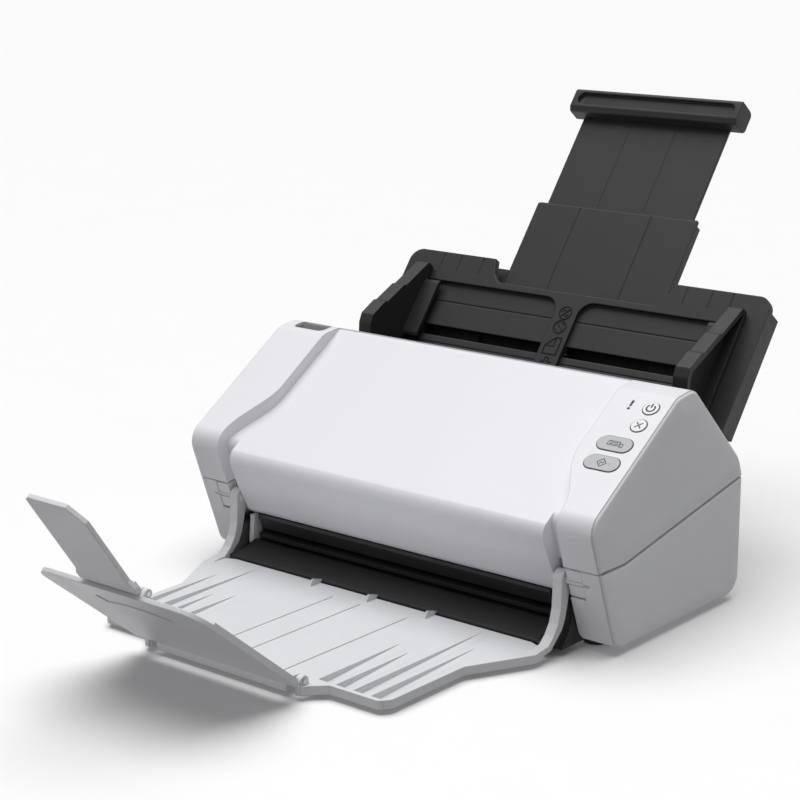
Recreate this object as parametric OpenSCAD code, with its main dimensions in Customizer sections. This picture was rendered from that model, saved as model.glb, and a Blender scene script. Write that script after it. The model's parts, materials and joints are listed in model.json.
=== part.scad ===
// Sheet-fed document scanner on a desk, feed tray and output tray open.
// X to the right, Y to the back, Z up; origin on the desk under the middle of the open scanner.

/* [Body] */
// half width of the case without the side panels
half_w = 149; // [130:0.5:170]
// thickness of the bulging side panels
panel_t = 2.4; // [1.5:0.1:4]
// underside of the case above the desk
floor_z = 4; // [2:0.5:8]
// wall thickness of the case and cover
wall = 3; // [2:0.1:4]
// depth of the middle cover below the side columns
recess = 7.3; // [4:0.1:10]
// half width of the middle cover between the columns, upper part
mid_top = 111; // [100:0.5:116]
// half width of the middle cover between the columns, lower part
mid_low = 126.5; // [120:0.5:130]
// half width of the nose of the middle cover
nose_x = 117.5; // [105:0.5:118]

/* [Hinges] */
// front hinge line, along Y
hinge_y = -64; // [-68:0.1:-58]
// front hinge line, along Z
hinge_z = 43.5; // [38:0.1:50]
// feed tray hinge line, along Y
fold_y = 64; // [58:0.1:70]
// feed tray hinge line, along Z
fold_z = 84; // [76:0.1:90]
// lean of the feed tray from level
tray_tilt = 52.5; // [40:0.5:70]
// lean of the wide stopper from level
stop_tilt = 39; // [20:1:80]
// lean of the narrow stopper from level
flag_tilt = 55; // [30:1:85]

/* [Feed tray] */
// half width of the feed tray
tray_x = 138; // [125:0.5:139]
// length of the wings up the slope
wing_s = 134.5; // [120:0.5:150]
// length of the frame between the wings
rim_s = 118; // [100:0.5:130]
// half width of the notch between the wings
notch_x = 69; // [60:0.5:75]
// half width of the first extension
ext1_x = 61.5; // [50:0.5:64]
// top of the first extension up the slope
ext1_s = 184.5; // [170:0.5:190]
// half width of the second extension
ext2_x = 56; // [45:0.5:58]
// bottom edge of the grip bar up the slope
bar_s = 251.8; // [230:0.1:260]
// inner face of the paper guides
guide_x = 115; // [105:0.5:118]

/* [Output tray] */
// front edge of the tray between its wings
lip_y = -207.5; // [-220:0.5:-180]
// half width of the middle part of the front edge
lip_x = 60; // [50:0.5:70]
// half width of the tray
out_x = 105.5; // [95:0.5:115]
// top of the tray
out_z = 8; // [6:0.1:12]
// length of the wide stopper
stop_l = 99; // [60:0.5:110]
// length of the narrow stopper
flag_l = 68; // [40:0.5:80]

/* [Rollers] */
// pick roller radius
pick_r = 11; // [8:0.1:13]
// drive roller radius
drive_r = 9; // [6:0.1:10]
// eject roller radius
eject_r = 8; // [6:0.1:9]
// shaft radius
shaft_r = 3; // [2:0.1:4]
// gear tooth module
gear_m = 1; // [0.6:0.1:1.5]

/* [View] */
// sub-part to draw

/* [Hidden] */
$fn = 48;
// way from the middle of the body to the middle of the whole scanner
shift_y = 50;
white = [0.90, 0.90, 0.92];
grey = [0.72, 0.73, 0.75];
black = [0.12, 0.12, 0.13];
dark = [0.22, 0.22, 0.24];
steel = [0.70, 0.71, 0.73];
rubber = [0.10, 0.10, 0.10];

slope = 33.3;
slope_y = -26.5;
slope_z = 116.2;
front_lean = 19.65;
seam_z = 52;

stop_y = lip_y + 3.3;
stop_z = out_z + 2.2;
ts = [cos(tray_tilt), sin(tray_tilt)];
tray_y = 52;
tray_z = 60;
fold_s = (fold_y - tray_y) * ts[0] + (fold_z - tray_z) * ts[1];
fold_n = -(fold_y - tray_y) * ts[1] + (fold_z - tray_z) * ts[0];

pick_y = 48.7;
pick_z = 52.4;
drive_y = 15.9;
drive_z = 30.2;
eject_y = -40.3;
eject_z = 17.2;

pick_t = 20;
idle1_t = 22;
drive_t = 20;
idle2_t = 40;
eject_t = 18;
motor_t = 12;
mesh_gap = 0.16;

// point that lies r0 from a and r1 from b, on the left of the way from a to b
function third(a, b, r0, r1) =
    let (d = norm(b - a), e = (b - a) / d)
    let (k = (r0 * r0 - r1 * r1 + d * d) / (2 * d), h = sqrt(r0 * r0 - k * k))
    a + e * k + [-e[1], e[0]] * h;
function reach(t0, t1) = gear_m * (t0 + t1) / 2 + mesh_gap;
function bearing(a, b) = atan2(b[1] - a[1], b[0] - a[0]);
function mesh(phase0, t0, dir, t1) =
    dir + 180 + 360 / t1 * ((dir - phase0) * t0 / 360 - 0.5);

pick_c = [pick_y, pick_z];
drive_c = [drive_y, drive_z];
eject_c = [eject_y, eject_z];
idle1_c = third(drive_c, pick_c, reach(drive_t, idle1_t), reach(pick_t, idle1_t));
idle2_c = third(eject_c, drive_c, reach(eject_t, idle2_t), reach(drive_t, idle2_t));
motor_c = drive_c + reach(drive_t, motor_t) * [cos(-45), sin(-45)];

idle1_ph = mesh(0, drive_t, bearing(drive_c, idle1_c), idle1_t);
pick_ph = mesh(idle1_ph, idle1_t, bearing(idle1_c, pick_c), pick_t);
idle2_ph = mesh(0, drive_t, bearing(drive_c, idle2_c), idle2_t);
eject_ph = mesh(idle2_ph, idle2_t, bearing(idle2_c, eject_c), eject_t);
motor_ph = mesh(0, drive_t, bearing(drive_c, motor_c), motor_t);

// helpers

module centred() { translate([0, shift_y, 0]) children(); }

module both() { children(); mirror([1, 0, 0]) children(); }

module along_x(x0, x1) {
    translate([x0, 0, 0]) rotate([90, 0, 90]) linear_extrude(x1 - x0) children();
}

module rod_x(x0, x1, y, z, r) {
    translate([x0, y, z]) rotate([0, 90, 0]) cylinder(h = x1 - x0, r = r);
}

module on_tray() { translate([0, tray_y, tray_z]) rotate([tray_tilt, 0, 0]) children(); }

// along the straight part of the paper path, local Z away from the lower guide
module on_path() { translate([0, 16, 38.5]) rotate([14, 0, 0]) children(); }

module on_slope() { translate([0, slope_y, slope_z]) rotate([slope, 0, 0]) children(); }

module rounded(r) { offset(r = r) offset(delta = -r) children(); }

module softened(r) { offset(r = -r) offset(delta = r) rounded(r) children(); }

module box(x0, x1, y0, y1, z0, z1) {
    translate([x0, y0, z0]) cube([x1 - x0, y1 - y0, z1 - z0]);
}

// side outlines, drawn as (y, z)

module body_2d() {
    rounded(12) polygon([[-52.5, floor_z], [-80, 81], [3.5, 136], [21, 138.4],
                         [73.5, 87], [77.5, 77], [77.5, floor_z]]);
}

module above_2d(g) {
    polygon([[-200, seam_z + g], [-45, seam_z + g], [155, seam_z + 37.5 + g],
             [155, 300], [-200, 300]]);
}

module below_2d(g) {
    polygon([[-200, seam_z - g], [-45, seam_z - g], [155, seam_z + 37.5 - g],
             [155, -50], [-200, -50]]);
}

// everything at least h below the long slope
module under_slope_2d(h) {
    translate([slope_y, slope_z]) rotate(slope) translate([-300, -400 - h]) square([600, 400]);
}

// everything at least h behind the leaning front face
module behind_front_2d(h) {
    translate([-52.5, floor_z]) rotate(front_lean) translate([h, -200]) square([400, 600]);
}

module mid_2d() {
    rounded(7) intersection() {
        body_2d();
        under_slope_2d(recess);
        behind_front_2d(8);
    }
}

module nose_2d() {
    intersection() {
        rounded(9) polygon([[-60.9, 32.6], [-62.4, 37.6], [-70.3, 53], [-79, 73.2],
                            [-20, 111.8], [10, 100], [-30, 50], [-44, 32.6]]);
        under_slope_2d(recess);
    }
}

// plan outline of the sunk middle, from the centre out to the side columns
module sunk_plan() {
    polygon(concat([[0, 19.5], [mid_top, 19.5]],
        [for (i = [0:12]) let (t = i / 12)
            [mid_top + (mid_low - mid_top) * t * t * (3 - 2 * t), -36 - 36 * t]],
        [[mid_low, -120], [0, -120]]));
}

module hinge_hole(x0, x1, r) { rod_x(x0, x1, hinge_y, hinge_z, r); }

// base

module base_case() {
    centred() color(white) difference() {
        union() {
            difference() {
                along_x(-half_w, half_w) intersection() { body_2d(); below_2d(0.2); }
                along_x(-half_w + wall, half_w - wall)
                    intersection() { offset(delta = -wall) body_2d(); below_2d(-9); }
                box(-118.4, 118.4, -120, -50.1, -1, 80);
                both() along_x(118, 126.8) difference() {
                    translate([-120, -1]) square([120, 100]);
                    behind_front_2d(8.6);
                }
            }
            // wall behind each arm of the output tray
            both() along_x(118.4, 129.8) intersection() {
                body_2d();
                below_2d(0.2);
                difference() { behind_front_2d(8.6); behind_front_2d(11.2); }
                translate([-120, 30.5]) square([120, 40]);
            }
            both() along_x(126.8, 129.8) intersection() {
                body_2d();
                below_2d(0.2);
                difference() { behind_front_2d(0); behind_front_2d(11.2); }
            }
            both() along_x(126.8, 142) intersection() {
                body_2d();
                below_2d(0.2);
                translate([hinge_y, hinge_z]) circle(12.2);
            }
            // side of the exit mouth
            both() along_x(115, 118.4)
                polygon([[-60, 14], [-58.4, 31], [-51, 31], [-51, 7.1], [-49, 7.1], [-49, 5],
                         [-57, 6.9]]);
            // posts under the board and the scan bar
            for (x = [-96, 66]) translate([x, 62, 6]) cylinder(h = 4.4, r = 4);
            both() translate([95, -38, 6]) cylinder(h = 3.5, r = 5);
        }
        both() hinge_hole(126.7, 137.1, 10.4);
        both() hinge_hole(137, 141, 2.4);
        // window for the rear cover
        box(-120, 120, 70, 80, 16, 66);
        // bottom vents
        for (i = [-5:5]) box(i * 12 - 2, i * 12 + 2, 30, 58, 0, 8);
        // screw holes
        both() for (y = [-25, 45]) translate([136, y, -1]) cylinder(h = 9, r = 1.6);
        // seats of the feet
        both() for (y = [-36, 58]) translate([126, y, -1]) cylinder(h = 6, r = 4.1);
    }
}

module side_panel(cut) {
    hull() {
        along_x(half_w + 0.1, half_w + 0.2) offset(delta = -0.5) cut_2d(cut);
        along_x(half_w + 1.2, half_w + 1.3) offset(delta = -1.6) cut_2d(cut);
        along_x(half_w + panel_t - 0.1, half_w + panel_t) offset(delta = -9) cut_2d(cut);
    }
}

module cut_2d(cut) {
    intersection() {
        body_2d();
        if (cut > 0) above_2d(0);
        if (cut < 0) polygon([[-200, -50], [-200, seam_z], [-71, seam_z], [155, seam_z + 42.4],
                              [155, -50]]);
    }
}

module lower_panel() {
    intersection() {
        side_panel(-1);
        along_x(half_w, half_w + 5) below_2d(0.5);
    }
}

module lower_panels() { centred() color(white) both() lower_panel(); }

module rear_cover() {
    centred() color(white) difference() {
        union() {
            box(-119.8, 119.8, 74, 77.4, 16.2, 65.8);
            box(-122.5, 122.5, 71.4, 74.1, 14, 69);
        }
        // louvres
        for (i = [0:5]) for (s = [-1, 1])
            box(s * 30 - 24, s * 30 + 24, 70, 80, 36 + i * 4.4, 38 + i * 4.4);
        // ports
        rod_hole_y(88, 22, 4.6);
        box(58, 70.4, 70, 80, 18, 29);
        box(-94, -87, 70, 80, 18, 21.2);
    }
}

module rod_hole_y(x, z, r) {
    translate([x, 90, z]) rotate([90, 0, 0]) cylinder(h = 40, r = r);
}

module exit_ramp() {
    centred() color(black) difference() {
        union() {
            along_x(-114.7, 114.7)
                rounded(0.8) polygon([[-50.4, 4.2], [-50.4, 14.8], [-59, 15.6], [-76.6, 9.4],
                                      [-77.2, 8.4], [-76.8, 5], [-70, 4.2]]);
            both() along_x(114.6, 119)
                polygon([[-61, 4.2], [-61, 13], [-76.6, 9.4], [-77.2, 8.4], [-76.8, 5], [-70, 4.2]]);
            both() along_x(118.7, 126.4)
                polygon([[-70, 4.2], [-63.4, 13], [-59.6, 24], [-58.6, 29.6], [-54.4, 29.6], [-52, 20],
                         [-49, 4.2]]);
        }
        along_x(-111, 111) polygon([[-53, 0], [-53, 12.2], [-59, 13], [-72, 8.6], [-72, 0]]);
    }
}

path_low = [[48.5, 68.5], [34.7, 50.6], [27.5, 43.6], [16, 38.5], [-58, 20]];

module tyre_gaps(x0, x1, y, z, r) { both() rod_x(x0, x1, y, z, r); }

module lower_guide() {
    centred() color(black) difference() {
        along_x(-111.6, 111.6)
            polygon(concat(path_low, [for (i = [4:-1:0]) path_low[i] + [0.8, -3]]));
        tyre_gaps(4.5, 27.5, pick_y, pick_z, pick_r + 0.8);
        tyre_gaps(28.5, 47.5, drive_y, drive_z, drive_r + 0.8);
        tyre_gaps(28.5, 47.5, eject_y, eject_z, eject_r + 0.8);
        on_path() box(-107.3, 107.3, -42.2, -17.8, -5, 1);
        // sensor window
        on_path() box(-4, 4, -12, -8, -5, 1);
    }
}

module lower_glass() {
    centred() color([0.55, 0.62, 0.62]) on_path() box(-107, 107, -42, -18, -1.9, 0);
}

module lower_scan_bar() {
    centred() color(dark) on_path() difference() {
        box(-107, 107, -44, -16, -15, -3.4);
        box(-103, 103, -40, -20, -7, -3);
        box(-103, 103, -42, -40.5, -16, -11);
    }
}

module bush(x0, x1, c) {
    difference() {
        union() {
            rod_x(x0, x1, c[0], c[1], 5.4);
            rod_x(x0 - 0.9, x0, c[0], c[1], 6.6);
        }
        rod_x(x0 - 2, x1 + 1, c[0], c[1], shaft_r + 0.05);
    }
}

module frame_plate() {
    difference() {
        along_x(112.6, 114.2)
            rounded(3) polygon([[-50, 7.4], [-50, 27], [-36, 31], [6, 46], [34, 62], [52, 66], [64, 60],
                                [68, 40], [68, 7.4]]);
        for (c = [pick_c, drive_c, eject_c]) rod_x(112, 115, c[0], c[1], 5.4);
        rod_x(112, 115, 52, 22, 9);
        rod_x(112, 115, -2, 17, 5);
    }
}

module roller_frames() {
    centred() color(steel) {
        difference() {
            union() {
                frame_plate();
                box(108, 114.2, 40, 66, 7.1, 8.2);
                box(108, 114.2, -46, -20, 7.1, 8.2);
                rod_x(114.2, 121.6, idle1_c[0], idle1_c[1], 2.5);
                rod_x(114.2, 121.6, idle2_c[0], idle2_c[1], 2.5);
            }
            rod_x(112, 115, motor_c[0], motor_c[1], 3.4);
        }
        mirror([1, 0, 0]) union() {
            frame_plate();
            box(108, 114.2, 40, 66, 7.1, 8.2);
            box(108, 114.2, -46, -20, 7.1, 8.2);
        }
    }
}

module bushes() {
    centred() color([0.85, 0.83, 0.78]) both() for (c = [pick_c, drive_c, eject_c]) bush(112.6, 114.4, c);
}

module gear(t, phase, x0, x1, c, bore) {
    p = 360 / t;
    r = gear_m * t / 2;
    w = p * 0.42 / 2;
    translate([x0, c[0], c[1]]) rotate([90, 0, 90]) rotate(phase) linear_extrude(x1 - x0)
        difference() {
            polygon([for (i = [0:t - 1]) for (k = [[-w * 1.45, -1.1], [-w, 0], [-w * 0.55, 0.8],
                                                 [w * 0.55, 0.8], [w, 0], [w * 1.45, -1.1]])
                let (a = i * p + k[0], q = r + k[1] * gear_m) [q * cos(a), q * sin(a)]]);
            circle(bore);
        }
}

module roller_set(c, r, x0, x1) {
    difference() {
        both() rod_x(x0, x1, c[0], c[1], r);
        rod_x(-60, 60, c[0], c[1], shaft_r + 2);
    }
}

module hub_shaft(c, x0, x1) {
    rod_x(-116.4, 121.6, c[0], c[1], shaft_r);
    both() rod_x(x0, x1, c[0], c[1], shaft_r + 2);
}

module pick_shaft() { centred() color(steel) hub_shaft(pick_c, 6, 26); }
module pick_tyres() { centred() color(rubber) roller_set(pick_c, pick_r, 6, 26); }
module pick_gear() {
    centred() color([0.9, 0.9, 0.86]) gear(pick_t, pick_ph, 115.4, 120.4, pick_c, shaft_r);
}
module drive_shaft() { centred() color(steel) hub_shaft(drive_c, 30, 46); }
module drive_tyres() { centred() color(rubber) roller_set(drive_c, drive_r, 30, 46); }
module drive_gear() {
    centred() color([0.9, 0.9, 0.86]) gear(drive_t, 0, 115.4, 120.4, drive_c, shaft_r);
}
module eject_shaft() { centred() color(steel) hub_shaft(eject_c, 30, 46); }
module eject_tyres() { centred() color(rubber) roller_set(eject_c, eject_r, 30, 46); }
module eject_gear() {
    centred() color([0.9, 0.9, 0.86]) gear(eject_t, eject_ph, 115.4, 120.4, eject_c, shaft_r);
}
module idler_gear_rear() {
    centred() color([0.9, 0.9, 0.86]) gear(idle1_t, idle1_ph, 115.4, 120.4, idle1_c, 2.56);
}
module idler_gear_front() {
    centred() color([0.9, 0.9, 0.86]) gear(idle2_t, idle2_ph, 115.4, 120.4, idle2_c, 2.56);
}

module motor() {
    centred() color(steel) difference() {
        union() {
            rod_x(84, 112.4, motor_c[0], motor_c[1], 9.2);
            along_x(111.2, 112.4) translate(motor_c) rotate(45) square([24, 5], center = true);
            rod_x(112.3, 114.6, motor_c[0], motor_c[1], 3.2);
        }
        rod_x(110, 116, motor_c[0], motor_c[1], 1.56);
    }
}

module motor_pinion() {
    centred() color([0.8, 0.68, 0.35]) {
        rod_x(110.4, 120.6, motor_c[0], motor_c[1], 1.5);
        gear(motor_t, motor_ph, 115.4, 120.4, motor_c, 1.4);
    }
}

module main_board() {
    centred() color([0.10, 0.38, 0.22]) {
        box(-104, 74, 54, 69.8, 10.4, 12);
        box(-80, -62, 58, 66, 12, 14.4);
        box(-40, -22, 57, 69, 12, 14);
        box(0, 12, 58, 66, 12, 18);
    }
}

module power_inlet() {
    centred() color(black) difference() {
        union() {
            box(82.2, 93.8, 60, 71.4, 12.2, 27.8);
            translate([88, 74.2, 22]) rotate([90, 0, 0]) cylinder(h = 3, r = 4.5);
        }
        translate([88, 75, 22]) rotate([90, 0, 0]) cylinder(h = 13, r = 2.75);
    }
}

module usb_socket() {
    centred() color(steel) difference() {
        box(58.2, 70.2, 60, 74.2, 18.2, 28.8);
        box(59.2, 69.2, 63, 75, 19.2, 27.8);
    }
    centred() color(black) {
        box(61.2, 67.2, 62.9, 71, 22, 25);
        box(59.4, 69, 60.4, 70, 12, 18.3);
    }
}

module rubber_feet() {
    centred() color(rubber) both() for (y = [-36, 58]) translate([126, y, 0]) {
        cylinder(h = 3.9, r = 7);
        cylinder(h = 4.6, r = 4);
    }
}

module case_screws() {
    centred() color(steel) both() for (y = [-25, 45]) translate([136, y, 0]) {
        translate([0, 0, 2.6]) cylinder(h = 1.3, r = 3);
        translate([0, 0, 3.8]) cylinder(h = 8, r = 1.5);
    }
}

module front_hinge_pins() {
    centred() color(steel) both() union() {
        hinge_hole(118.5, 140.8, 2.35);
        hinge_hole(118.1, 118.8, 3.6);
    }
}

module tray_brackets() {
    centred() color(black) both() difference() {
        along_x(131, 134.6) union() {
            translate([fold_y, fold_z]) circle(6.6);
            polygon([[56, 7.2], [57.4, fold_z], [70.6, fold_z], [72.4, 11], [66, 7.2]]);
        }
        rod_x(130, 136, fold_y, fold_z, 2.9);
    }
}

module tray_pins() {
    centred() color(steel) both() {
        rod_x(126.6, 134.6, fold_y, fold_z, 2.9);
        rod_x(134.6, 136, fold_y, fold_z, 4);
    }
}

module latch_keepers() {
    centred() color(steel) {
        box(-137, -122, 50, 52, 7.2, 60);
        box(-137, -122, 46, 52, 58, 60);
    }
}

// front cover

module front_cover() {
    centred() color(white) {
        difference() {
            union() {
                difference() {
                    along_x(-half_w, half_w) intersection() { body_2d(); above_2d(0.2); }
                    box(-139.2, 139.2, 26.5, 120, 0, 200);
                    difference() {
                        both() translate([0, 0, -10]) linear_extrude(220) sunk_plan();
                        along_x(-mid_low, mid_low) mid_2d();
                    }
                }
                along_x(-nose_x, nose_x) nose_2d();
            }
            // hollows
            along_x(-139.2, 139.2) intersection() {
                offset(delta = -wall) body_2d();
                under_slope_2d(recess + wall);
                behind_front_2d(11.2);
            }
            along_x(3 - nose_x, nose_x - 3) intersection() {
                offset(delta = -wall) nose_2d();
                translate([-100, 37]) square([200, 100]);
            }
            both() {
                along_x(129.5, 146) column_2d(-80, 23.5);
                along_x(118.6, 146) column_2d(-49, 23.5);
                along_x(114, 146) column_2d(-36, 23.5);
                along_x(142, 146) column_2d(-80, 120);
                hinge_hole(nose_x + 0.1, 150, 10.4);
            }
            // recess of the release lever
            translate([0, 0, 126]) linear_extrude(19) union() {
                rounded(4) translate([-141, 7]) square([24.5, 13]);
                translate([-141, 13]) square([24.5, 7]);
            }
            button_shapes(0.3, -20, 5);
            on_slope() lamp_shape(0.1, -20);
        }
        // bosses of the release lever
        difference() {
            union() {
                rod_x(-146.5, -141.6, 4, 127, 4);
                rod_x(-116.4, -113.5, 4, 127, 4);
            }
            rod_x(-145, -112, 4, 127, 1.6);
        }
    }
}

module column_2d(y0, y1) {
    intersection() {
        offset(delta = -wall) body_2d();
        translate([y0, 0]) square([y1 - y0, 200]);
    }
}

module upper_panel() {
    difference() {
        intersection() {
            side_panel(1);
            along_x(half_w, half_w + 5) above_2d(0.5);
        }
        hinge_hole(140, 160, 9.9);
    }
}

module upper_panels() { centred() color(white) both() upper_panel(); }

module hinge_tabs() {
    centred() color(white) both() difference() {
        union() {
            along_x(126.9, 136.9) intersection() {
                offset(delta = -0.3) body_2d();
                translate([hinge_y, hinge_z]) circle(9.1);
            }
            along_x(129.7, 136.7)
                polygon([[-64, 46], [-64, 60], [-66, 66], [-56, 66], [-58.4, 52], [-58.4, 46]]);
        }
        hinge_hole(126, 138, 2.42);
    }
}

cover_line = [[24.4, 127.6], [19, 122], [17, 100], [22, 84], [38, 72.5], [43.3, 66.7], [31.1, 50.8],
              [24.5, 45], [15.3, 41.4], [-56, 23], [-59.5, 31]];

module inner_skin() {
    intersection() {
        difference() {
            cover_region();
            offset(delta = -2.2) cover_region();
        }
        translate([-59.5, 0]) square([110, 127.6]);
    }
}

module cover_region() { polygon(concat(cover_line, [[-120, 31], [-120, 200], [24.4, 200]])); }

module roller_clip(x, y, z, r, top) {
    both() difference() {
        along_x(x, x + 2.4) union() {
            translate([y, z]) circle(4.2);
            polygon(top);
        }
        rod_x(x - 1, x + 4, y, z, r);
    }
}

module inner_cover() {
    centred() color(black) difference() {
        union() {
            along_x(-110.5, 110.5) inner_skin();
            both() along_x(110.4, 138.8) intersection() {
                inner_skin();
                translate([0, 69]) square([60, 70]);
            }
            roller_clip(28.2, 32.6, 64.8, 2.05, [[28.6, 66], [26, 80], [35, 73], [36.6, 64]]);
            roller_clip(50, 12.2, 45.1, 2.05, [[7, 39.8], [7, 46], [17, 46], [17, 43.4]]);
            roller_clip(50, -43.8, 31.1, 2.05, [[-49, 25.2], [-49, 31], [-38, 31], [-38, 28]]);
        }
        both() {
            rod_x(7, 25, 32.6, 64.8, 9.8);
            rod_x(4.5, 27.5, pick_y, pick_z, pick_r + 0.8);
            rod_x(28.5, 47.5, 12.2, 45.1, 6.8);
            rod_x(28.5, 47.5, -43.8, 31.1, 6.8);
            rod_x(28.5, 47.5, drive_y, drive_z, drive_r + 0.8);
        }
        on_path() box(-107.3, 107.3, -36.3, -15.7, 0, 8);
    }
}

module upper_glass() { centred() color([0.55, 0.62, 0.62]) on_path() box(-107, 107, -36, -16, 3.1, 5); }

module upper_scan_bar() {
    centred() color(dark) on_path() difference() {
        box(-107, 107, -37, -15, 6.6, 17);
        box(-103, 103, -33, -19, 6, 10);
    }
}

module free_roller(x0, x1, y, z, r, end) {
    rod_x(-end, end, y, z, 2);
    both() rod_x(x0, x1, y, z, r);
}

module retard_roller() { centred() color(rubber) free_roller(8, 24, 32.6, 64.8, 9, 31); }
module rear_pinch_rollers() { centred() color(grey) free_roller(30, 46, 12.2, 45.1, 6, 53); }
module front_pinch_rollers() { centred() color(grey) free_roller(30, 46, -43.8, 31.1, 6, 53); }

module button_board() {
    centred() color([0.10, 0.38, 0.22]) on_slope() {
        box(120, 144.5, -24, 31, -10, -8.4);
        box(121, 127, -12, -8, -8.5, -7);
    }
}

// button outlines, grown by g, from z0 to z1 above the slope
module button_shapes(g, z0, z1) {
    power_shape(g, z0, z1);
    stop_shape(g, z0, z1);
    upper_pill_shape(g, z0, z1);
    lower_pill_shape(g, z0, z1);
}

module power_shape(g, z0, z1) {
    on_slope() translate([138.4, 25.1, z0]) cylinder(h = z1 - z0, r = 4.6 + g);
}

module stop_shape(g, z0, z1) {
    on_slope() translate([138.1, 11.4, z0]) cylinder(h = z1 - z0, r = 4.5 + g);
}

module upper_pill_shape(g, z0, z1) { on_slope() translate([131.5, -4.6, z0]) pill(g, z1 - z0); }
module lower_pill_shape(g, z0, z1) { on_slope() translate([131.4, -19.2, z0]) pill(g, z1 - z0); }

module pill(g, h) {
    linear_extrude(h) union() {
        for (s = [-1, 1]) translate([s * 5.9, 0]) circle(5.05 + g);
        square([11.8, 10.1 + 2 * g], center = true);
    }
}

module stem(x, t) { on_slope() translate([x, t, -6.8]) cylinder(h = 3, r = 1.6); }

module power_button() {
    centred() color(grey) {
        power_shape(0, -3.6, 0.6);
        power_shape(0.9, -4.6, -3.5);
        stem(138.4, 25.1);
    }
}

module stop_button() {
    centred() color(grey) {
        stop_shape(0, -3.6, 0.6);
        stop_shape(0.9, -4.6, -3.5);
        stem(138.1, 11.4);
    }
}

module upper_scan_button() {
    centred() color(grey) {
        upper_pill_shape(0, -3.6, 0.6);
        upper_pill_shape(0.7, -4.6, -3.5);
        stem(131.5, -4.6);
    }
}

module lower_scan_button() {
    centred() color(grey) {
        lower_pill_shape(0, -3.6, 0.6);
        lower_pill_shape(0.7, -4.6, -3.5);
        stem(131.4, -19.2);
    }
}

module lamp_shape(g, z0) {
    translate([125, 27.9, z0]) cylinder(h = 0.1 - z0, r = 0.8 + g);
    translate([124.4 - g, 24.3 - g, z0]) cube([1.2 + 2 * g, 3.6, 0.1 - z0]);
    translate([125, 22.4, z0]) cylinder(h = 0.1 - z0, r = 0.8 + g);
}

module status_lamp() {
    centred() color([0.95, 0.6, 0.2]) on_slope() {
        lamp_shape(0, -5);
        box(123, 127.6, 20, 29.4, -6, -4.9);
    }
}

module release_lever() {
    centred() color(dark) {
        rod_x(-143.5, -115.2, 4, 127, 1.55);
        along_x(-139.6, -118) difference() {
            rounded(1) polygon([[1, 124.4], [1, 130.6], [7.6, 131.8], [8.4, 136.2], [18.8, 136.2],
                                [19.2, 131.6], [9, 128.6], [7.4, 124.4]]);
            translate([13.6, 143.4]) circle(8.4);
        }
        along_x(-129, -124) rounded(0.8)
            polygon([[1.4, 127], [7.6, 127], [12.4, 118], [11.4, 98], [15.6, 84], [30, 72.6], [40.6, 66],
                     [45.6, 60.8], [45.7, 53.8], [42, 53.8], [40.4, 58.6], [26, 67.6], [9.6, 79.4],
                     [4.6, 98], [5.8, 118]]);
    }
}

// feed tray, drawn along the tray: local Y up the tray, local Z towards the paper

module tray_outline() {
    difference() {
        union() {
            rounded(9) translate([-tray_x, 44.8]) square([2 * tray_x, wing_s - 44.8]);
            translate([-tray_x, 44.8]) square([2 * tray_x, 20]);
            translate([-130.5, 6]) square([261, 60]);
        }
        softened(5) polygon([[-notch_x, 150], [-notch_x, wing_s], [3.4 - notch_x, 124],
                             [9 - notch_x, rim_s], [notch_x - 9, rim_s], [notch_x - 3.4, 124],
                             [notch_x, wing_s], [notch_x, 150]]);
    }
}

module feed_tray() {
    centred() color(black) on_tray() {
        difference() {
            union() {
                translate([0, 0, 3.4]) linear_extrude(4.6) tray_outline();
                both() {
                    box(135.6, tray_x, 44.8, 126, -6, 3.6);
                    box(130, tray_x, 44.8, 47, -6, 3.6);
                    along_x(126.6, 130.5)
                        polygon([[6, 3.4], [6, 8], [47, 8], [47, -6], [20, -6], [12, 3.4]]);
                    rod_x(126.6, 130.5, fold_s, fold_n, 6.5);
                }
                translate([0, 78.8, 0.3]) cylinder(h = 4, r = 2);
            }
            // sunk panels
            both() translate([0, 0, 5]) linear_extrude(5) softened(1)
                polygon(concat([[8.6, 8]], [for (a = [180:-15:90]) [18.6, 103.6] + 10 * [cos(a), sin(a)]],
                               [[115, 113.6], [121, 107.6], [121, 8]]));
            // slot of the paper guides
            both() box(8.6, 121, 75, 82.5, 0, 12);
            // score line across the panels
            both() for (s = [70, 100]) box(8.6, 121, s - 0.4, s + 0.4, 4.6, 6);
            // side marks
            both() for (x = [78.4, 96.5, 111]) box(x - 0.4, x + 0.4, 121.3, 133.7, 7.7, 9);
            both() rod_x(126, 131, fold_s, fold_n, 2.96);
        }
    }
}

module feed_tray_back() {
    centred() color(black) on_tray() {
        both() box(65.4, 126.2, 18.5, 133.6, -6, -4.2);
        box(-66, 66, 18.5, 27.2, -6, -4.2);
        box(-67.2, 67.2, 25.6, 119.8, -9, -7.2);
        both() box(65.4, 67.2, 25.6, 119.8, -9, -4.2);
        box(-67.2, 67.2, 25.6, 27.2, -9, -4.2);
        both() box(126, 135.4, 47.2, 125.6, -6, -4.2);
        // posts that carry the front plate
        both() for (s = [58, 104]) translate([92, s, -4.3]) cylinder(h = 7.6, r = 4);
    }
}

module extension_1() {
    centred() color(black) on_tray() difference() {
        union() {
            translate([0, 0, -2]) linear_extrude(2) ext1_plan();
            both() box(57, ext1_x, 102, ext1_s - 4, -6, -1.9);
            both() box(50, ext1_x, 102, ext1_s - 4, -6, -5.2);
        }
        both() box(27, 27.8, 104, ext1_s - 1.4, -0.3, 1);
        // bevelled top edge
        along_x(-70, 70) polygon([[ext1_s - 1.3, 0], [ext1_s - 1.3, 1], [ext1_s + 1, 1],
                                  [ext1_s + 1, -1.3], [ext1_s, -1.3]]);
    }
}

module ext1_plan() {
    union() {
        rounded(2) translate([-ext1_x, 120]) square([2 * ext1_x, ext1_s - 120]);
        translate([-ext1_x, 102]) square([2 * ext1_x, 40]);
    }
}

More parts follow.
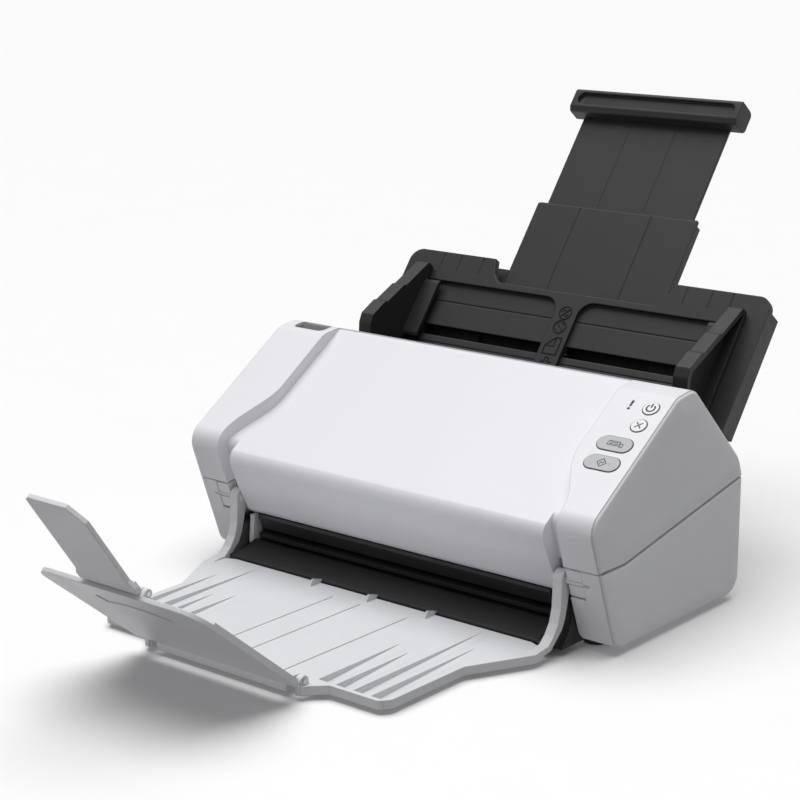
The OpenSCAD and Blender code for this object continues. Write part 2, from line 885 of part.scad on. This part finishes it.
module extension_2() {
    centred() color(black) on_tray() difference() {
        translate([-ext2_x, 165, -4.8]) cube([2 * ext2_x, bar_s - 165, 2.4]);
        both() box(17.2, 18, 186, bar_s - 2, -2.7, 0);
    }
}

module grip_bar() {
    centred() color(black) on_tray() difference() {
        along_x(-64, 64) rounded(2.4)
            polygon([[bar_s + 0.2, -6], [bar_s + 0.2, 5], [bar_s + 3, 7], [bar_s + 16, 7],
                     [bar_s + 18.4, 3], [bar_s + 18.4, -5], [bar_s + 14, -8], [bar_s + 3, -8]]);
        // rounded far corners
        both() translate([0, 0, -10]) linear_extrude(20) difference() {
            translate([60, bar_s + 14.4]) square([6, 6]);
            translate([60, bar_s + 14.4]) circle(4);
        }
        translate([0, bar_s + 9.4, 4.6]) linear_extrude(6) union() {
            for (k = [-1, 1]) translate([k * 55.6, 0]) circle(4.6);
            square([111.2, 9.2], center = true);
        }
    }
}

module rack_2d(x0, x1, n) {
    p = PI * gear_m;
    union() {
        translate([x0, 8.2]) square([x1 - x0, 3]);
        for (i = [0:n - 1]) translate([i * p, 7.1])
            polygon([[-0.92, 1.2], [-0.66, 0], [-0.36, -0.75], [0.36, -0.75], [0.66, 0], [0.92, 1.2]]);
    }
}

module guide_fin() {
    along_x(guide_x, guide_x + 10) softened(2)
        polygon([[122, 8.6], [122, 15], [98, 26.8], [97, 28.8], [80, 37.2], [79, 39.2], [66, 45],
                 [60, 43.6], [31.7, 24.4], [33.4, 12], [38, 8.6]]);
}

module paper_guide(side) {
    difference() {
        union() {
            difference() {
                guide_fin();
                along_x(guide_x + 2.4, guide_x + 11) offset(delta = -2.4)
                    polygon([[121, 9], [121, 14.4], [66, 43.4], [60, 42.6], [33, 24.4], [35, 9]]);
            }
            along_x(guide_x - 11.5, guide_x + 3) rounded(1)
                polygon([[70, 8.6], [70, 10.4], [72, 11.4], [110, 11.4], [113, 9.6], [113, 8.6]]);
            box(guide_x - 9, guide_x + 2, 76, 81.6, 0.7, 9);
        }
    }
    if (side > 0) box(guide_x - 9, guide_x + 2, 76, 90, 0.7, 2.9);
    if (side < 0) box(guide_x - 9, guide_x + 2, 67.6, 81.6, 0.7, 2.9);
}

module guide_right() {
    centred() color(black) on_tray() {
        paper_guide(1);
        translate([0, 78.8, 0.7]) linear_extrude(2.2) rack_2d(-6, guide_x - 8, 34);
    }
}

module guide_left() {
    centred() color(black) on_tray() {
        mirror([1, 0, 0]) paper_guide(-1);
        mirror([1, 0, 0]) translate([0, 78.8, 0.7]) linear_extrude(2.2) mirror([0, 1, 0])
            rack_2d(-6, guide_x - 8, 34);
    }
}

module guide_pinion() {
    centred() color([0.9, 0.9, 0.86]) on_tray() translate([0, 78.8, 0.7]) linear_extrude(2.2) difference() {
        flat_gear_2d(14);
        circle(2.06);
    }
}

module flat_gear_2d(t) {
    p = 360 / t;
    r = gear_m * t / 2;
    w = p * 0.42 / 2;
    polygon([for (i = [0:t - 1]) for (k = [[-w * 1.45, -1.1], [-w, 0], [-w * 0.55, 0.75],
                                         [w * 0.55, 0.75], [w, 0], [w * 1.45, -1.1]])
        let (a = i * p + k[0], q = r + k[1] * gear_m) [q * cos(a), q * sin(a)]]);
}

// output tray

module out_plan() {
    rounded(4) polygon([[-125.3, -93], [-125.3, -83.5], [-112, -78.2], [112, -78.2], [125.3, -83.5],
                        [125.3, -93], [106, -131], [out_x, -190], [101, -196], [68, -196],
                        [lip_x, -204], [lip_x, lip_y], [-lip_x, lip_y], [-lip_x, -204],
                        [-68, -196], [-101, -196], [-out_x, -190], [-106, -131]]);
}

module arm_2d() {
    union() {
        translate([hinge_y, hinge_z]) circle(5.4);
        softened(1.5) polygon([[hinge_y - 5, hinge_z + 1], [hinge_y + 5, hinge_z + 1], [-62.1, 35.5],
                               [-65.5, 21.5], [-68.3, 15.5], [-78.5, 6.1], [-90.9, 3.9], [-92, 2.9],
                               [-92, 8], [-81, 9.2], [-76, 13.6], [-72, 19.4], [-69.8, 27.2]]);
    }
}

module output_tray() {
    centred() color(white) difference() {
        union() {
            difference() {
                translate([0, 0, 2.8]) linear_extrude(out_z - 2.8) out_plan();
                translate([0, 0, 0]) linear_extrude(5.6) offset(delta = -3) out_plan();
            }
            both() along_x(119, 125.3) arm_2d();
            // stiffening ribs underneath
            for (x = [-84, -28, 28, 84]) box(x - 0.8, x + 0.8, -192, -82, 3.4, 6);
            // fins at the rear edge
            for (x = [-43.5, 0, 43.5]) along_x(x - 0.6, x + 0.6)
                polygon([[-76.4, 9.6], [-84.6, 12], [-88, 7], [-79, 7]]);
            // thick wings that take the grooves
            both() box(57, 102.8, -194, -100, 2.8, 7.9);
            // ears of the wide stopper
            both() along_x(54.4, 58) union() {
                translate([stop_y, stop_z]) circle(3.2);
                polygon([[stop_y - 3, 5], [stop_y - 3, stop_z], [stop_y + 3, stop_z], [stop_y + 5, 5]]);
            }
        }
        both() hinge_hole(118, 126, 2.42);
        both() box(48.4, 54.4, lip_y - 1, -197.4, 2, 12);
        both() rod_x(54, 59, stop_y, stop_z, 1.5);
        // grooves that deepen towards the front edge
        both() for (g = [[58, 66, -125], [70, 78, -132], [82, 89, -82], [94, 101, -104]])
            along_x(g[0], g[1]) polygon([[g[2], 8], [-193, 4.2], [-193, 9], [g[2], 9]]);
        for (x = [-21, 0, 35]) box(x - 0.4, x + 0.4, -200, -92, 7.5, 9);
    }
}

module on_stop() { translate([0, stop_y, stop_z]) rotate([180 - stop_tilt, 0, 0]) children(); }
module on_flag() {
    on_stop() translate([0, 94.5, -0.2]) rotate([stop_tilt - flag_tilt, 0, 0]) children();
}

module wide_stopper() {
    centred() color(white) on_stop() {
        difference() {
            union() {
                translate([0, 0, 2.8]) linear_extrude(2.6) union() {
                    rounded(15) translate([-lip_x, 30]) square([2 * lip_x, stop_l - 30]);
                    translate([-lip_x, 6]) square([2 * lip_x, 40]);
                }
                both() along_x(49, 53.9) union() {
                    circle(3.2);
                    polygon([[-1, -3.2], [1, -3.2], [9, 2.8], [14, 4], [14, 5.4], [6, 5.4], [-2.6, 2]]);
                }
                both() box(58, lip_x, 8, 84, 1.4, 3);
                // ears of the narrow stopper
                both() along_x(18, 21) union() {
                    translate([94.5, -0.2]) circle(2.6);
                    translate([91.9, -0.2]) square([5.2, 3.4]);
                }
            }
            both() rod_x(48, 55, 0, 0, 1.55);
            both() rod_x(17, 22, 94.5, -0.2, 1.25);
            // bowed finger mark
            translate([0, 0, 4.9]) linear_extrude(2) polygon(concat(
                [for (i = [-9:9]) [i * 3, 88.5 - 8.5 * i * i / 81]],
                [for (i = [9:-1:-9]) [i * 2.7, 77 - 5 * i * i / 81]]));
        }
    }
}

module narrow_stopper() {
    centred() color(white) on_flag() difference() {
        union() {
            rod_x(-17.6, 17.6, 0, 0, 2.6);
            box(-17.6, 17.6, 0, 9, 0, 2.6);
            translate([0, 0, 2.4]) linear_extrude(2.6) rounded(1.2)
                polygon([[-21.5, 5], [-21.5, 9], [-18.7, 14], [-18.7, flag_l - 2], [-16.7, flag_l],
                         [10.5, flag_l], [18.7, flag_l - 10], [18.7, 14], [21.5, 9], [21.5, 5]]);
        }
        rod_x(-22, 22, 0, 0, 1.3);
    }
}

module stopper_pins() {
    centred() color(steel) both() rod_x(49.2, 58.6, stop_y, stop_z, 1.5);
}

module flag_pin() { centred() color(steel) on_stop() rod_x(-21.2, 21.2, 94.5, -0.2, 1.24); }

base_case();
lower_panels();
rear_cover();
exit_ramp();
lower_guide();
lower_glass();
lower_scan_bar();
roller_frames();
bushes();
pick_shaft();
pick_tyres();
pick_gear();
drive_shaft();
drive_tyres();
drive_gear();
eject_shaft();
eject_tyres();
eject_gear();
idler_gear_rear();
idler_gear_front();
motor();
motor_pinion();
main_board();
power_inlet();
usb_socket();
rubber_feet();
case_screws();
front_hinge_pins();
tray_brackets();
tray_pins();
latch_keepers();
front_cover();
upper_panels();
hinge_tabs();
inner_cover();
upper_glass();
upper_scan_bar();
retard_roller();
rear_pinch_rollers();
front_pinch_rollers();
button_board();
power_button();
stop_button();
upper_scan_button();
lower_scan_button();
status_lamp();
release_lever();
feed_tray();
feed_tray_back();
extension_1();
extension_2();
grip_bar();
guide_right();
guide_left();
guide_pinion();
output_tray();
stopper_pins();
wide_stopper();
flag_pin();
narrow_stopper();
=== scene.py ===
"""Looks of the sheet-fed document scanner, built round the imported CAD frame."""

import json
import math

import bmesh
import bpy
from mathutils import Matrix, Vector


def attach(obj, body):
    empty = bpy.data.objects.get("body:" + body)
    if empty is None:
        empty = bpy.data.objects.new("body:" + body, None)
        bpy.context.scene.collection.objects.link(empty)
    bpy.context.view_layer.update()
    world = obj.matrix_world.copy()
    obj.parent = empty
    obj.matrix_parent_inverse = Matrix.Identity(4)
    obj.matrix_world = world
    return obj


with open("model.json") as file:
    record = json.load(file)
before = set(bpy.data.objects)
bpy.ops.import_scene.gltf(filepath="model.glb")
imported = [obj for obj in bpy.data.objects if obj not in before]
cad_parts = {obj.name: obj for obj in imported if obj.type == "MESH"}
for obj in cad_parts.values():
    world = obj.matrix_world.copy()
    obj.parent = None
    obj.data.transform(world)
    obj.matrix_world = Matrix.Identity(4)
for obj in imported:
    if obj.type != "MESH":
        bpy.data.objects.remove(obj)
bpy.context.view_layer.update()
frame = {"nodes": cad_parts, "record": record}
NODES = frame["nodes"]
MM = 0.001  # metres in a millimetre


# ---------------------------------------------------------------- materials

NOISE_LOW, NOISE_HIGH = 0.3, 0.7  # the part of the noise's range that is spread out
SMEAR_SCALE = 6                   # times the mottle: how fine the uneven polish is
GRAIN_DEPTH = 0.12 * MM
EDGE_SAMPLES = 6
SUBSURFACE_DEPTH = 2 * MM


def noise(nodes, links, place, scale, detail):
    node = nodes.new("ShaderNodeTexNoise")
    node.inputs["Scale"].default_value = scale
    node.inputs["Detail"].default_value = detail
    links.new(place.outputs[0], node.inputs["Vector"])
    return node


def ramp(nodes, low, high):
    node = nodes.new("ShaderNodeValToRGB")
    for element, position, colour in zip(node.color_ramp.elements, (NOISE_LOW, NOISE_HIGH), (low, high)):
        element.position = position
        element.color = (*colour, 1)
    return node


def surface(name, colour, spread=0.03, rough=(0.38, 0.5), grain=2400, bump=0.12, mottle=9, metallic=0.0,
            specular=0.5, stretch=None, alpha=1.0, coat=0.0, subsurface=0.0, edge=0.0):
    """Moulded or brushed surface: mottled colour, uneven polish, fine grain as bump, and sharp
    edges that catch the light as if they were rounded by edge millimetres."""
    material = bpy.data.materials.new(name)
    material.use_nodes = True
    nodes, links = material.node_tree.nodes, material.node_tree.links
    shader = nodes["Principled BSDF"]
    coords = nodes.new("ShaderNodeTexCoord")
    place = nodes.new("ShaderNodeMapping")
    if stretch:
        place.inputs["Scale"].default_value = stretch
    links.new(coords.outputs["Object"], place.inputs["Vector"])

    broad = noise(nodes, links, place, mottle, 5)
    low = [max(0.0, c * (1 - spread)) for c in colour]
    high = [min(1.0, c * (1 + spread)) for c in colour]
    tint = ramp(nodes, low, high)
    links.new(broad.outputs["Fac"], tint.inputs["Fac"])
    links.new(tint.outputs["Color"], shader.inputs["Base Color"])

    smear = noise(nodes, links, place, mottle * SMEAR_SCALE, 6)
    smear.inputs["Roughness"].default_value = 0.65
    polish = nodes.new("ShaderNodeMapRange")
    polish.inputs["From Min"].default_value = NOISE_LOW
    polish.inputs["From Max"].default_value = NOISE_HIGH
    polish.inputs["To Min"].default_value = rough[0]
    polish.inputs["To Max"].default_value = rough[1]
    links.new(smear.outputs["Fac"], polish.inputs["Value"])
    links.new(polish.outputs["Result"], shader.inputs["Roughness"])

    if bump:
        fine = noise(nodes, links, place, grain, 3)
        relief = nodes.new("ShaderNodeBump")
        relief.inputs["Strength"].default_value = bump
        relief.inputs["Distance"].default_value = GRAIN_DEPTH
        links.new(fine.outputs["Fac"], relief.inputs["Height"])
        links.new(relief.outputs["Normal"], shader.inputs["Normal"])
        if edge:
            rounding = nodes.new("ShaderNodeBevel")
            rounding.samples = EDGE_SAMPLES
            rounding.inputs["Radius"].default_value = edge * MM
            links.new(rounding.outputs["Normal"], relief.inputs["Normal"])
    shader.inputs["Metallic"].default_value = metallic
    shader.inputs["Specular IOR Level"].default_value = specular
    shader.inputs["Alpha"].default_value = alpha
    shader.inputs["Coat Weight"].default_value = coat
    shader.inputs["Subsurface Weight"].default_value = subsurface
    shader.inputs["Subsurface Scale"].default_value = SUBSURFACE_DEPTH
    return material


SURFACES = {
    "case_white": dict(colour=(0.80, 0.80, 0.835), spread=0.008, rough=(0.36, 0.46), coat=0.05, edge=1.0),
    # painted shade: the case white made darker for the sideways-facing side panels
    "shaded_case_side": dict(colour=(0.74, 0.745, 0.765), spread=0.012, rough=(0.44, 0.56), bump=0.2, edge=1.0),
    "tray_white": dict(colour=(0.68, 0.685, 0.705), spread=0.015, rough=(0.34, 0.48), edge=0.9),
    "tray_black": dict(colour=(0.026, 0.026, 0.0275), spread=0.05, rough=(0.42, 0.54), bump=0.25, grain=1700,
                       specular=0.4, edge=1.1),
    "black_plastic": dict(colour=(0.012, 0.012, 0.013), spread=0.08, rough=(0.4, 0.55), bump=0.2,
                          specular=0.45, edge=0.6),
    "dark_plastic": dict(colour=(0.11, 0.11, 0.118), spread=0.06, rough=(0.38, 0.52)),
    "button_white": dict(colour=(0.82, 0.82, 0.84), spread=0.008, rough=(0.3, 0.4)),
    "button_grey": dict(colour=(0.47, 0.475, 0.485), spread=0.015, rough=(0.32, 0.44)),
    "gear_plastic": dict(colour=(0.72, 0.71, 0.64), spread=0.03, rough=(0.3, 0.42), subsurface=0.1),
    "rubber": dict(colour=(0.018, 0.018, 0.019), spread=0.2, rough=(0.7, 0.88), bump=0.5, grain=900),
    "pinch_plastic": dict(colour=(0.30, 0.31, 0.32), spread=0.04, rough=(0.35, 0.5)),
    "steel": dict(colour=(0.56, 0.57, 0.59), spread=0.06, rough=(0.22, 0.38), metallic=1.0,
                  stretch=(0.05, 1, 1), bump=0.15),
    "brass": dict(colour=(0.72, 0.52, 0.22), spread=0.06, rough=(0.22, 0.36), metallic=1.0),
    "board": dict(colour=(0.02, 0.12, 0.045), spread=0.2, rough=(0.3, 0.45), mottle=60, coat=0.4),
    "inlet_black": dict(colour=(0.012, 0.012, 0.012), spread=0.1, rough=(0.3, 0.45)),
    "scan_glass": dict(colour=(0.55, 0.65, 0.64), spread=0.02, rough=(0.03, 0.07), bump=0, alpha=0.5,
                       coat=0.5),
    "print": dict(colour=(0.045, 0.045, 0.05), spread=0.06, rough=(0.45, 0.6)),
    "faint_print": dict(colour=(0.52, 0.52, 0.54), spread=0.03, rough=(0.45, 0.6)),
    # painted shade for the gaps round the buttons
    "gap_shade": dict(colour=(0.05, 0.05, 0.055), spread=0.06, rough=(0.4, 0.55)),
    "emboss": dict(colour=(0.007, 0.007, 0.0075), spread=0.08, rough=(0.45, 0.6), specular=0.25),
    "floor": dict(colour=(0.90, 0.90, 0.905), spread=0.004, rough=(0.6, 0.7), bump=0),
}
LOOK = {name: surface(name, **look) for name, look in SURFACES.items()}

# a node looks like its material slot, apart from these; the side panels and hinge pins take the darker side
# copy of the case white, which is painted shade
SPECIAL = {"upper_panels": "shaded_case_side", "lower_panels": "shaded_case_side", "front_hinge_pins": "shaded_case_side",
           "status_lamp": "print"}
SLOT_OF = {part["node"]: part["material_slot"] for part in frame["record"]["subparts"]}
for name, node in NODES.items():
    look = LOOK[SPECIAL.get(name) or SLOT_OF[name]]
    for place in node.material_slots:
        place.material = look


# ---------------------------------------------------------------- moulded edges

WELD_DISTANCE = 0.01 * MM
EDGE_SEGMENTS = 3
EDGE_ANGLE = 28  # degrees; flatter edges stay as they are
SMOOTHING_WEIGHT = 60
SOFT_EDGES = {  # width in millimetres: nodes
    0.4: ("exit_ramp", "release_lever", "power_button", "stop_button", "upper_scan_button",
          "lower_scan_button"),
    0.5: ("base_case", "lower_panels", "upper_panels", "front_cover", "hinge_tabs", "output_tray",
          "extension_2", "guide_left", "guide_right"),
    0.6: ("wide_stopper", "narrow_stopper", "feed_tray", "feed_tray_back"),
    0.8: ("extension_1", "grip_bar"),
}


def soften(node, width):
    """Rounds the node's hard edges the way a mould does."""
    weld = node.modifiers.new("weld", "WELD")
    weld.merge_threshold = WELD_DISTANCE
    bevel = node.modifiers.new("edges", "BEVEL")
    bevel.width = width * MM
    bevel.segments = EDGE_SEGMENTS
    bevel.limit_method = "ANGLE"
    bevel.angle_limit = math.radians(EDGE_ANGLE)
    bevel.use_clamp_overlap = True
    bevel.miter_outer = "MITER_ARC"
    normal = node.modifiers.new("normals", "WEIGHTED_NORMAL")
    normal.keep_sharp = False
    normal.weight = SMOOTHING_WEIGHT
    for face in node.data.polygons:
        face.use_smooth = True


for width, names in SOFT_EDGES.items():
    for name in names:
        soften(NODES[name], width)


# ---------------------------------------------------------------- marks and painted gap shade

SHIFT = 50.0  # millimetres from the middle of the body to the origin


class Plane:
    """A tilted plane of the object: x to the right, t up the slope and n off it, in millimetres."""

    def __init__(self, y, z, tilt):
        self.origin = Vector((0, y + SHIFT, z))
        angle = math.radians(tilt)
        self.up = Vector((0, math.cos(angle), math.sin(angle)))
        self.off = Vector((0, -math.sin(angle), math.cos(angle)))

    def at(self, x, t, n):
        return (self.origin + Vector((x, 0, 0)) + self.up * t + self.off * n) * MM


SLOPE = Plane(-26.5, 116.2, 33.3)
TRAY = Plane(52.0, 60.0, 52.5)
SHARPEST_MITRE = 0.35  # least cosine used where a line turns a corner


def strip(points, width, closed=False):
    """The two edges of a line of that width drawn through the points, and whether it closes."""
    count = len(points)
    left, right = [], []
    for i, (x, t) in enumerate(points):
        before = points[(i - 1) % count] if closed or i else points[i]
        after = points[(i + 1) % count] if closed or i < count - 1 else points[i]
        into = Vector((x - before[0], t - before[1]))
        out = Vector((after[0] - x, after[1] - t))
        into = into.normalized() if into.length else out.normalized()
        out = out.normalized() if out.length else into
        mean = (into + out).normalized()
        side = Vector((-mean.y, mean.x)) * (width / 2 / max(SHARPEST_MITRE, mean.dot(into)))
        left.append((x + side.x, t + side.y))
        right.append((x - side.x, t - side.y))
    return left, right, closed


def arc(x, t, radius, start=0.0, stop=360.0, steps=40):
    full = abs(stop - start) >= 360
    count = steps if full else steps + 1
    angles = [math.radians(start + (stop - start) * i / steps) for i in range(count)]
    return [(x + radius * math.cos(a), t + radius * math.sin(a)) for a in angles]


def pill(x, t, half, radius):
    return arc(x + half, t, radius, -90, 90, 16) + arc(x - half, t, radius, 90, 270, 16)


def mark(name, plane, strips, heights, look, body):
    """Closed bars along the strips, between two heights over the plane."""
    low, high = heights
    mesh = bmesh.new()
    for left, right, closed in strips:
        rings = [[mesh.verts.new(plane.at(*a, low)), mesh.verts.new(plane.at(*b, low)),
                  mesh.verts.new(plane.at(*b, high)), mesh.verts.new(plane.at(*a, high))]
                 for a, b in zip(left, right)]
        joints = list(zip(rings, rings[1:] + rings[:1])) if closed else list(zip(rings, rings[1:]))
        for one, two in joints:
            for k in range(4):
                mesh.faces.new((one[k], one[(k + 1) % 4], two[(k + 1) % 4], two[k]))
        if not closed:
            mesh.faces.new(rings[0][::-1])
            mesh.faces.new(rings[-1])
    bmesh.ops.recalc_face_normals(mesh, faces=mesh.faces)
    data = bpy.data.meshes.new(name)
    mesh.to_mesh(data)
    mesh.free()
    data.materials.append(LOOK[look])
    piece = bpy.data.objects.new(name, data)
    bpy.context.collection.objects.link(piece)
    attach(piece, body)


# buttons on the slope of the right column: x and t of the middle of each, and the round ones' radius
ROUND = {"power_button": (138.4, 25.1, 4.6), "stop_button": (138.1, 11.4, 4.5)}
PILLS = {"upper_scan_button": (131.5, -4.6), "lower_scan_button": (131.4, -19.2)}
PILL_HALF, PILL_RADIUS = 5.9, 5.05
BUTTON_TOP = 0.6
INK = (BUTTON_TOP - 0.02, BUTTON_TOP + 0.06)


def ink(name, strips, button):
    mark(name, SLOPE, strips, INK, "print", button)


POWER_LINE = 1.0
x, t, _ = ROUND["power_button"]
ink("power_mark", [strip(arc(x, t - 0.1, 2.5, 128, 412, 30), POWER_LINE),
                   strip([(x, t + 0.3), (x, t + 3.3)], POWER_LINE)], "power_button")

# two strokes of a cross: the second stops short of the first, on either side
STOP_LINE, STOP_ARM, STOP_GAP = 0.75, 2.0, 0.45
x, t, _ = ROUND["stop_button"]
ink("stop_mark", [strip([(x - STOP_ARM, t - STOP_ARM), (x + STOP_ARM, t + STOP_ARM)], STOP_LINE)],
    "stop_button")
ink("stop_mark_cross", [strip([(x - STOP_ARM, t + STOP_ARM), (x - STOP_GAP, t + STOP_GAP)], STOP_LINE),
                        strip([(x + STOP_GAP, t - STOP_GAP), (x + STOP_ARM, t - STOP_ARM)], STOP_LINE)],
    "stop_button")

# a feeder with its sheets
x, t = PILLS["upper_scan_button"]
ink("upper_scan_mark", [
    strip([(x - 4.6, t - 1.3), (x - 3.9, t + 1.7), (x + 3.2, t + 1.7), (x + 3.2, t - 1.3)], 0.45, True),
    strip([(x - 2.9, t - 0.4), (x - 2.5, t + 0.8), (x + 1.9, t + 0.8), (x + 1.9, t - 0.4)], 0.4, True),
    strip([(x + 3.9, t - 1.9), (x + 3.9, t + 0.5), (x + 5.5, t + 0.5), (x + 5.5, t - 1.9)], 0.4, True),
], "upper_scan_button")

# a start diamond with a small dot beside it
x, t = PILLS["lower_scan_button"]
ink("lower_scan_mark", [
    strip([(x - 2.9, t), (x, t + 2.9), (x + 2.9, t), (x, t - 2.9)], 0.5, True),
    strip([(x - 0.9, t - 1.1), (x - 0.9, t + 0.3), (x + 0.9, t - 0.3), (x + 0.9, t + 1.1)], 0.42),
    strip([(x + 5.1, t - 0.25), (x + 5.1, t + 0.25)], 0.5),
], "lower_scan_button")

# painted shade: a dark ring fills the gap round each button to just over the cover, standing in for the
# gap's shadow
GAP = (-0.5, 0.07)


def gap_shade(button, outline, width):
    mark(button + "_gap_shade", SLOPE, [strip(outline, width, True)], GAP, "gap_shade", "front_cover")


for name, (x, t, radius) in ROUND.items():
    gap_shade(name, arc(x, t, radius + 0.42, steps=56), 0.6)
for name, (x, t) in PILLS.items():
    gap_shade(name, pill(x, t, PILL_HALF, PILL_RADIUS + 0.36), 0.55)
mark("pill_lines", SLOPE, [strip([(x, -8.6), (x, -15.6)], 0.14) for x in (120.2, 142.9)], (-0.05, 0.03),
     "faint_print", "front_cover")

# raised signs on the middle rib of the feed tray
RIB_TOP = 8.0
RELIEF = (RIB_TOP - 0.1, RIB_TOP + 0.35)
RING_RADIUS, RING_LINE = 4.4, 0.7


def sign(name, strips):
    mark(name, TRAY, strips, RELIEF, "emboss", "feed_tray")


sign("rib_sign_clip", [
    strip(arc(0.0, 104.0, RING_RADIUS, steps=44), RING_LINE, True),
    strip([(-2.9, 101.1), (2.9, 106.9)], 0.6),
    strip([(-2.6, 104.6), (-0.9, 106.4), (0.1, 105.4)], 0.55),
    strip([(-0.1, 102.6), (0.9, 101.6), (2.6, 103.4)], 0.55),
])
sign("rib_sign_staple", [
    strip(arc(0.0, 94.0, RING_RADIUS, steps=44), RING_LINE, True),
    strip([(-2.9, 96.9), (2.9, 91.1)], 0.6),
    strip([(-3.0, 92.6), (-1.5, 91.4)], 0.55),
    strip([(0.7, 96.3), (1.9, 96.7), (2.9, 95.5)], 0.55),
])
sign("rib_sign_page", [
    strip([(-5.2, 74.6), (-5.2, 80.4), (1.2, 86.6), (5.2, 86.6), (5.2, 74.6)], 0.65, True),
    strip([(-4.7, 80.3), (1.3, 80.3), (1.3, 86.0)], 0.5),
])
sign("rib_sign_arrow", [
    strip([(-4.2, 69.2), (-1.2, 69.2), (-1.2, 72.2), (1.2, 72.2), (1.2, 69.2), (4.2, 69.2)], 0.65),
])


# ---------------------------------------------------------------- room

FLOOR_HALF, FLOOR_Z = 9, -0.0002  # metres
CORNERS = ((-1, -1), (1, -1), (1, 1), (-1, 1))
floor_mesh = bpy.data.meshes.new("floor")
floor_mesh.from_pydata([(x * FLOOR_HALF, y * FLOOR_HALF, FLOOR_Z) for x, y in CORNERS], [], [(0, 1, 2, 3)])
floor = bpy.data.objects.new("floor", floor_mesh)
bpy.context.collection.objects.link(floor)
floor_mesh.materials.append(LOOK["floor"])
floor.visible_diffuse = False  # it throws no light back up at the object

world = bpy.data.worlds.new("studio")
world.use_nodes = True
background = world.node_tree.nodes["Background"]
background.inputs["Color"].default_value = (1.0, 1.0, 1.0, 1)
background.inputs["Strength"].default_value = 0.30
bpy.context.scene.world = world

# one wide soft light, nearly overhead
SUN_FROM = Vector((-0.12, 0.0, 1.0))
panel = bpy.data.lights.new("sky_panel", "SUN")
panel.energy = 2.62
panel.angle = math.radians(60)
sky = bpy.data.objects.new("sky_panel", panel)
bpy.context.collection.objects.link(sky)
sky.location = SUN_FROM
sky.rotation_euler = (-SUN_FROM).to_track_quat("-Z", "Y").to_euler()

camera = bpy.data.cameras.new("camera")
camera.lens = 92.8
camera.sensor_width = 36
camera.clip_end = 30
eye = bpy.data.objects.new("camera", camera)
bpy.context.collection.objects.link(eye)
eye.location = (0.7334, -0.9455 + SHIFT * MM, 0.4135)
eye.rotation_euler = (math.radians(75.84), 0, math.radians(39.5))
bpy.context.scene.camera = eye
bpy.context.scene.view_settings.view_transform = "Standard"

bpy.context.view_layer.update()
